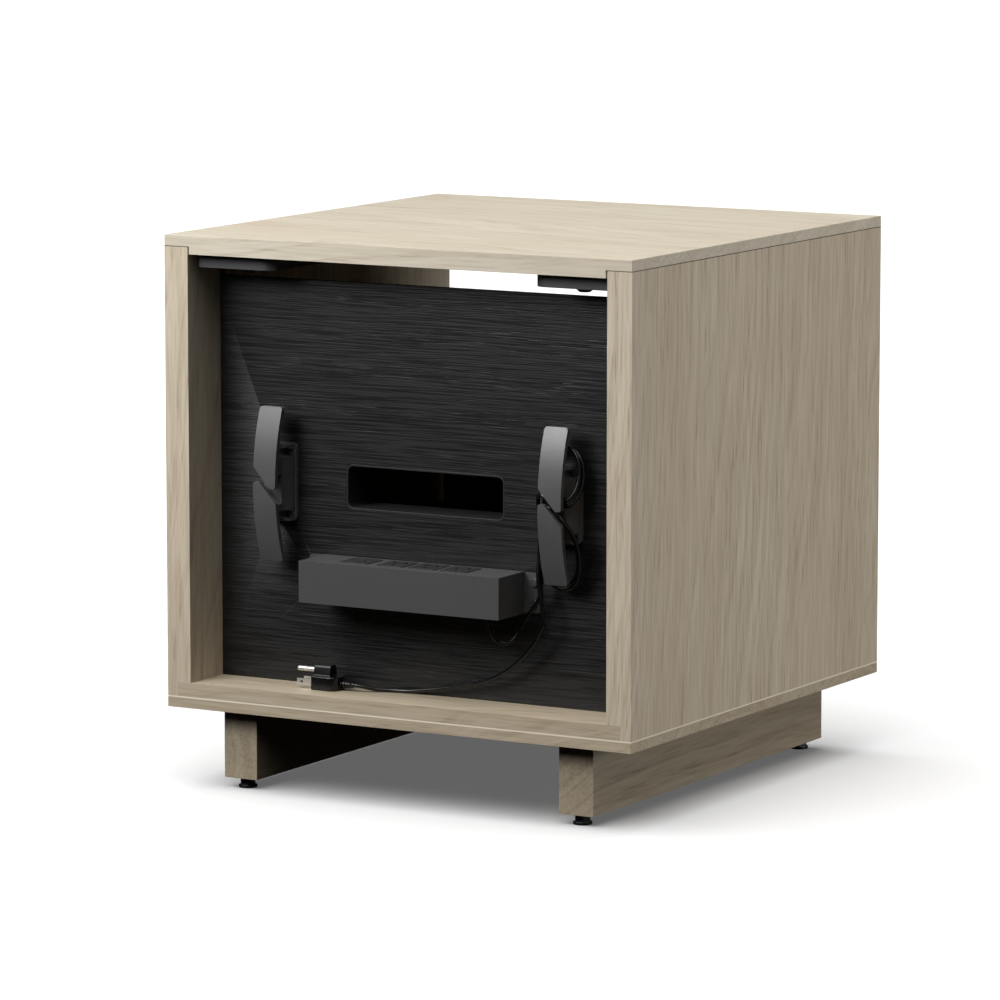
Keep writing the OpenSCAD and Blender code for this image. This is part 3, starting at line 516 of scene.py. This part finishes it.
# Down the right side, through the saddle and out below
UPPER_2 = [
    (-9, 12.4, 53.2), (-15.5, 13.4, 47), (-19, 15, 38), (-20.2, 17, 27), (-19, 20.5, 17),
    (-15.8, 24.8, 9.5), (-11, 27.6, 6), (-5.5, 28.4, 5.2), (0, 28, 6), (5.5, 26.8, 8.8),
    (10.5, 24.8, 9), (13.8, 22, 4), (14.6, 20.2, -4),
]
# Down the left side, under the foot and up to the slit
LOWER_1 = [
    (14.8, 18.8, -12), (15.2, 17.8, -22), (15.5, 16.8, -33), (15.8, 16.6, -46), (15, 15, -58),
    (12.5, 12.3, -67.5), (7.5, 10, -73), (0, 9, -75), (-8, 9.2, -73), (-13.5, 10.5, -67.5),
    (-17, 12.5, -58), (-18.3, 15.5, -46), (-17.8, 19, -34), (-15.5, 23, -24.5), (-11, 25.8, -16.5),
    (-5, 26.4, -10), (1, 26.4, -4.5), (7, 26.2, -1), (12.6, 25.3, -1.5), (16.2, 23.9, -6),
]
# The same once more, outside the first
LOWER_2 = [
    (17.6, 22.6, -14), (18, 21.8, -24), (18.8, 21.2, -34), (19, 21, -46), (18.4, 19, -58),
    (15.8, 15.6, -68.5), (10.5, 13.2, -75.5), (3, 12.8, -79), (-5, 13, -79), (-12.5, 13.8, -75.8),
    (-18, 15.5, -68.5), (-21.2, 18, -57.5), (-22.2, 20.5, -45), (-21.2, 24, -33.5), (-18, 28, -23.5),
    (-13, 30.2, -15.5), (-7, 30.8, -8.4), (0, 30.8, -0.4), (6.5, 30.6, 6.5), (11.5, 30, 10.5),
    (16, 28, 10.5), (19, 25, 5.5),
]
# Down the left side to the tail
LEAVE = [
    (20.4, 21.5, -2), (21.2, 18, -11), (21.6, 15.8, -22), (22, 15.3, -34), (22.3, 16.2, -46),
    (22.3, 18, -58), (21.6, 20, -70), (19.5, 21, -84), (17.3, 21, -95),
]


def cord_route():
    """Points of the whole cord, in metres: lead, turns round the cleat's neck and tail."""
    turns = CLIMB + UPPER_1 + UPPER_2 + LOWER_1 + LOWER_2 + LEAVE
    base = np.array([0, PANEL_Y, FLOOR_Z])
    middle = np.array(CLEAT)
    parts = ((LEAD, base), (turns, middle), (TAIL, base))
    return np.vstack([np.array(points) * MM + origin for points, origin in parts])


# ---- Settings ----


class CabinetStage(bpy.types.PropertyGroup):
    """Camera, light and floor."""

    azimuth: bpy.props.FloatProperty(
        name="View turn",
        description="Turn of the view from straight behind",
        default=math.radians(29.8),
        subtype="ANGLE",
    )
    dip: bpy.props.FloatProperty(
        name="View dip",
        description="How far the view looks down",
        default=math.radians(8.05),
        subtype="ANGLE",
    )
    lens: bpy.props.FloatProperty(
        name="Lens",
        description="Focal length",
        default=207.43,
        unit="CAMERA",
    )
    eye: bpy.props.FloatVectorProperty(
        name="Eye",
        description="Place of the camera",
        default=(-2.747, 4.853, 1.0539),
        subtype="TRANSLATION",
        unit="LENGTH",
    )
    key: bpy.props.FloatProperty(
        name="Key light",
        description="Power of the main light",
        default=9.2,
        unit="POWER",
    )
    sun: bpy.props.FloatProperty(
        name="Softbox",
        description="Strength of the light overhead",
        default=3.6,
    )
    wash: bpy.props.FloatProperty(
        name="Floor wash",
        description="Strength of the light on the floor",
        default=1.1,
    )
    sky: bpy.props.FloatProperty(
        name="Sky",
        description="Strength of the light from above",
        default=0.30,
    )
    glow: bpy.props.FloatProperty(
        name="Floor glow",
        description="Own light of the white floor",
        default=0.12,
    )


class CabinetCord(bpy.types.PropertyGroup):
    """The strip's cord."""

    thickness: bpy.props.FloatProperty(
        name="Thickness",
        description="Diameter of the cord",
        default=0.004,
        subtype="DISTANCE",
        unit="LENGTH",
    )


class CabinetWood(bpy.types.PropertyGroup):
    """Boards."""

    pale: bpy.props.FloatVectorProperty(
        name="Pale oak",
        description="Colour of the sides and the door between the grain lines",
        default=rgb(206, 194, 173)[:3],
        subtype="COLOR",
    )
    tan: bpy.props.FloatVectorProperty(
        name="Tan oak",
        description="Colour of the sides and the door in the grain lines",
        default=rgb(160, 144, 120)[:3],
        subtype="COLOR",
    )
    ease: bpy.props.FloatProperty(
        name="Eased edge",
        description="Width of the boards' eased edges",
        default=0.0006,
        subtype="DISTANCE",
        unit="LENGTH",
    )


class CabinetBack(bpy.types.PropertyGroup):
    """Black back panel."""

    dark: bpy.props.FloatVectorProperty(
        name="Stain",
        description="Colour of the back panel between its streaks",
        default=rgb(13, 13, 14)[:3],
        subtype="COLOR",
    )
    light: bpy.props.FloatVectorProperty(
        name="Worn stain",
        description="Colour of the back panel in its streaks",
        default=rgb(31, 31, 32)[:3],
        subtype="COLOR",
    )


# ---- Operators ----


class Maker:
    """What the operators share."""

    bl_options = {"REGISTER", "UNDO"}

    def execute(self, context):
        self.make(context.scene)
        return {"FINISHED"}


# Each lamp's name, place, target, width, and power as a share of the key light's
LAMPS = (
    ("key", (0.55, 1.75, 1.30), (0.0, 0.15, 0.40), 0.9, 1.0),
    ("sheen", (1.5, 2.3, 1.6), (0.0, 0.2, 0.45), 1.1, 1.6),
    ("accent", (0.34, 0.98, 0.92), (0.0, 0.2, 0.55), 0.35, 0.34),
    ("flank", (-1.8, -0.45, 1.75), (-0.25, -0.05, 0.35), 1.0, 0.70),
    ("low", (-2.6, -0.6, 0.40), (-0.2, -0.05, 0.08), 1.1, 2.5),
    ("front", (0.7, -2.3, 0.15), (0.0, -0.2, 0.30), 0.6, 1.5),
)
# Widths of the two suns, in degrees, and the way they shine
CROWN_WIDTH = 88
WASH_WIDTH = 78
SUN_WAY = (-0.10, -0.22, -1.0)
# How the sky fades: heights where it is darkest and brightest, and its share of strength there
SKY_LOW, SKY_HIGH = -0.35, 0.8
SKY_DARK, SKY_BRIGHT = 0.18, 1.25
FLOOR_RADIUS = 40.0
FLOOR_DROP = 0.0002


class CABINET_OT_stage(Maker, bpy.types.Operator):
    """Make the camera, the lights and the floor"""

    bl_idname = "cabinet.stage"
    bl_label = "Stage"

    def make(self, scene):
        settings = scene.cabinet_stage
        scene.view_settings.view_transform = "Standard"
        camera = bpy.data.objects.new("camera", bpy.data.cameras.new("camera"))
        scene.collection.objects.link(camera)
        turn, dip = settings.azimuth, settings.dip
        level = math.cos(dip)
        ahead = Vector((math.sin(turn) * level, -math.cos(turn) * level, -math.sin(dip)))
        camera.location = settings.eye
        camera.rotation_euler = ahead.to_track_quat("-Z", "Y").to_euler()
        camera.data.lens = settings.lens
        camera.data.sensor_width = 36.0
        camera.data.clip_end = 200.0
        scene.camera = camera
        power = settings.key
        lamps = [
            self.light(scene, name, place, target, size, power * share)
            for name, place, target, size, share in LAMPS
        ]
        self.sun(scene, "crown", settings.sun, CROWN_WIDTH)
        self.sky(scene, settings.sky)
        floor = self.floor(scene, settings.glow)
        # The lamps near the object don't reach the floor, so that it stays evenly white
        unlit = bpy.data.collections.new("unlit")
        unlit.objects.link(floor)
        unlit.collection_objects[0].light_linking.link_state = "EXCLUDE"
        for lamp in lamps:
            lamp.light_linking.receiver_collection = unlit
        lit = bpy.data.collections.new("lit")
        lit.objects.link(floor)
        self.sun(scene, "wash", settings.wash, WASH_WIDTH).light_linking.receiver_collection = lit

    def sun(self, scene, name, strength, width):
        """Wide sun that stands for a softbox overhead and lights the floor evenly."""
        data = bpy.data.lights.new(name, "SUN")
        data.energy = strength
        data.angle = math.radians(width)
        lamp = bpy.data.objects.new(name, data)
        lamp.rotation_euler = Vector(SUN_WAY).to_track_quat("-Z", "Y").to_euler()
        scene.collection.objects.link(lamp)
        return lamp

    def light(self, scene, name, place, target, size, power):
        """Round lamp at a place, turned to its target."""
        data = bpy.data.lights.new(name, "AREA")
        data.shape = "DISK"
        data.size = size
        data.energy = power
        lamp = bpy.data.objects.new(name, data)
        lamp.location = place
        lamp.rotation_euler = (Vector(target) - Vector(place)).to_track_quat("-Z", "Y").to_euler()
        # The front lamp only fills, and stays below the top so that it leaves no sheen there
        lamp.visible_glossy = name != "front"
        scene.collection.objects.link(lamp)
        return lamp

    def sky(self, scene, strength):
        """World light that is full overhead and fades below the horizon."""
        world = bpy.data.worlds.new("sky")
        scene.world = world
        world.use_nodes = True
        nodes, links = world.node_tree.nodes, world.node_tree.links
        split = nodes.new("ShaderNodeSeparateXYZ")
        fade = nodes.new("ShaderNodeMapRange")
        fade.inputs["From Min"].default_value = SKY_LOW
        fade.inputs["From Max"].default_value = SKY_HIGH
        fade.inputs["To Min"].default_value = SKY_DARK * strength
        fade.inputs["To Max"].default_value = SKY_BRIGHT * strength
        links.new(nodes.new("ShaderNodeTexCoord").outputs["Generated"], split.inputs[0])
        links.new(split.outputs["Z"], fade.inputs["Value"])
        links.new(fade.outputs[0], nodes["Background"].inputs["Strength"])

    def floor(self, scene, glow):
        """White floor: a disc of 40 m, which the object's own bounce light passes through."""
        angle = np.linspace(0, 2 * math.pi, 96, endpoint=False)
        radius = np.array([[0.0], [FLOOR_RADIUS]])
        height = np.full((2, 96), -FLOOR_DROP)
        rings = np.stack([radius * np.cos(angle), radius * np.sin(angle), height], -1)
        mesh = grid_mesh("floor", rings)
        white = Finish("floor_white", Emission_Strength=glow, Roughness=0.9)
        white.shader.inputs["Emission Color"].default_value = (1, 1, 1, 1)
        tone = white.noise(white.place, 2.0, 2.0)
        colour = white.mix(tone * 0.02, (0.80, 0.80, 0.80, 1), (0.79, 0.79, 0.79, 1))
        mesh.materials.append(white.end(colour))
        made = bpy.data.objects.new("floor", mesh)
        made.visible_diffuse = False
        made.visible_glossy = False
        scene.collection.objects.link(made)
        return made


class CABINET_OT_cord(Maker, bpy.types.Operator):
    bl_idname = "cabinet.cord"
    bl_label = "Cord"

    def make(self, scene):
        thick = scene.cabinet_cord.thickness
        path = evenly(smooth_path(cord_route()), 0.0025)
        mesh = swept("strip_cord", path, thick / 2)
        parts = ("cord_lead", "cord_winding", "cord_tail")
        made = piece("strip_cord", mesh, CASE, "cord_jacket", parts)
        nodes = [
            paint("cord_gland", "cord_jacket"),
            self.boot(),
            eased("plug_body", "plug_shell", CASE, "cord_jacket", 1.1, 3),
            eased("plug_blades", "plug_prongs", CASE, "nickel", 0.25),
            eased("plug_ground_pin", "plug_earth_pin", CASE, "nickel", 0.6, 3),
        ]

    def boot(self):
        """The plug's strain relief: five ribs on a core, each smaller than the one before."""
        low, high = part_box("plug_relief")
        centre = (low + high) / 2
        centre.x = high.x
        widest, length = 3.9, 13.95
        profile = [(0.0, 0.0), (0.0, widest)]
        for rib in range(5):
            start, radius = rib * 2.75, widest - rib * 0.28
            profile += [(start + 0.25, radius), (start + 1.45, radius)]
            profile += [(start + 1.7, 2.5), (start + 2.5, 2.45)]
        profile += [(length, 2.3), (length, 0.0)]
        mesh = turned("plug_boot", profile, centre, (-1.0, 0.0, 0.0))
        return piece("plug_boot", mesh, CASE, "cord_jacket", ("plug_relief",))


class CABINET_OT_boards(Maker, bpy.types.Operator):
    """Make the case's oak boards and the door"""

    bl_idname = "cabinet.boards"
    bl_label = "Oak boards"

    def make(self, scene):
        ease = scene.cabinet_wood.ease / MM
        for node, name, key in (
            ("top_panel", "top_board", "oak_top"),
            ("bottom_panel", "bottom_board", "oak_base"),
            ("side_left", "left_board", "oak_side"),
            ("side_right", "right_board", "oak_side"),
            ("fixed_shelf", "bay_shelf", "oak_top"),
            ("adjustable_shelf", "tray_shelf", "oak_top"),
        ):
            wide = key in ("oak_top", "oak_base")
            eased(node, name, CASE, key, ease * (1.8 if wide else 1.0))
        eased("door_panel", "door_board", DOOR, "oak_door", ease)
        for node, name in (("runner_left", "left_runner"), ("runner_right", "right_runner")):
            eased(node, name, CASE, "oak_runner", ease)
        paint("dowels", "beech")


class CABINET_OT_back(Maker, bpy.types.Operator):
    """Make the black back panel and the slot's sleeve"""

    bl_idname = "cabinet.back"
    bl_label = "Back panel"

    def make(self, scene):
        eased("back_panel", "back_board", CASE, "black_oak", 0.5)
        eased("slot_liner", "slot_sleeve", CASE, "black_plastic", 0.4)


class CABINET_OT_cleats(Maker, bpy.types.Operator):
    """Make the two cord cleats"""

    bl_idname = "cabinet.cleats"
    bl_label = "Cleats"

    def make(self, scene):
        for side in ("left", "right"):
            eased(f"cleat_{side}", f"{side}_cord_cleat", CASE, "cleat_grey", 0.5)
        paint("cleat_screws", "zinc_steel")


class CABINET_OT_strip(Maker, bpy.types.Operator):
    """Make the power strip"""

    bl_idname = "cabinet.strip"
    bl_label = "Power strip"

    def make(self, scene):
        eased("strip_housing", "strip_case", CASE, "dark_coated_steel", 0.8, 3)
        eased("strip_back_plate", "strip_plate", CASE, "dark_coated_steel", 0.3)
        eased("strip_outlets", "strip_sockets", CASE, "black_plastic", 0.25)
        paint("strip_bus_bars", "brass")
        paint("strip_screws", "zinc_steel")


class CABINET_OT_brackets(Maker, bpy.types.Operator):
    """Make the brackets under the top with their knobs and screws"""

    bl_idname = "cabinet.brackets"
    bl_label = "Top brackets"

    def make(self, scene):
        for place in ("back_left", "back_right", "front_left", "front_right"):
            node = f"bracket_{place}"
            eased(node, f"{place}_bracket", CASE, "dark_coated_steel", 1.0, 3)
        eased("bracket_knobs", "bracket_thumbscrews", CASE, "black_plastic", 0.5)
        paint("bracket_inserts", "brass")
        paint("bracket_screws", "zinc_steel")


class CABINET_OT_feet(Maker, bpy.types.Operator):
    """Make the levelling feet"""

    bl_idname = "cabinet.feet"
    bl_label = "Levelling feet"

    def make(self, scene):
        for foot in FEET:
            eased(foot, foot.replace("foot_", "") + "_foot", foot, "foot_plastic", 0.4)
        paint("foot_inserts", "zinc_steel")


class CABINET_OT_fittings(Maker, bpy.types.Operator):
    """Finish the door's and the shelves' fittings"""

    bl_idname = "cabinet.fittings"
    bl_label = "Fittings"

    def make(self, scene):
        eased("door_pull", "door_tab", DOOR, "dark_coated_steel", 0.4)
        eased("magnet_catch", "door_magnet", CASE, "black_plastic", 0.6)
        for node, key in (
            ("shelf_pins", "zinc_steel"),
            ("runner_screws", "zinc_steel"),
            ("hinge_pins", "zinc_steel"),
            ("pull_screws", "zinc_steel"),
            ("catch_screws", "zinc_steel"),
            ("strike_plate", "zinc_steel"),
            ("hinge_bushes", "brass"),
        ):
            paint(node, key)


OPERATORS = (
    CABINET_OT_stage,
    CABINET_OT_cord,
    CABINET_OT_boards,
    CABINET_OT_back,
    CABINET_OT_cleats,
    CABINET_OT_strip,
    CABINET_OT_brackets,
    CABINET_OT_feet,
    CABINET_OT_fittings,
)
SETTINGS = (
    ("cabinet_stage", CabinetStage),
    ("cabinet_cord", CabinetCord),
    ("cabinet_wood", CabinetWood),
    ("cabinet_back", CabinetBack),
)


class CABINET_PT_panel(bpy.types.Panel):
    """Lists the cabinet's settings and pieces"""

    bl_idname = "CABINET_PT_panel"
    bl_label = "Media cabinet"
    bl_space_type = "VIEW_3D"
    bl_region_type = "UI"
    bl_category = "Cabinet"

    def draw(self, context):
        for key, group in SETTINGS:
            box = self.layout.box()
            for name in group.__annotations__:
                box.prop(getattr(context.scene, key), name)
        for operator in OPERATORS:
            self.layout.operator(operator.bl_idname)


def register():
    for key, group in SETTINGS:
        bpy.utils.register_class(group)
        setattr(bpy.types.Scene, key, bpy.props.PointerProperty(type=group))
    for made in (*OPERATORS, CABINET_PT_panel):
        bpy.utils.register_class(made)


def unregister():
    for made in reversed((*OPERATORS, CABINET_PT_panel)):
        bpy.utils.unregister_class(made)
    for key, group in reversed(SETTINGS):
        delattr(bpy.types.Scene, key)
        bpy.utils.unregister_class(group)


def main():
    register()
    for operator in OPERATORS:
        family, action = operator.bl_idname.split(".")
        getattr(getattr(bpy.ops, family), action)()


if __name__ == "__main__":
    main()
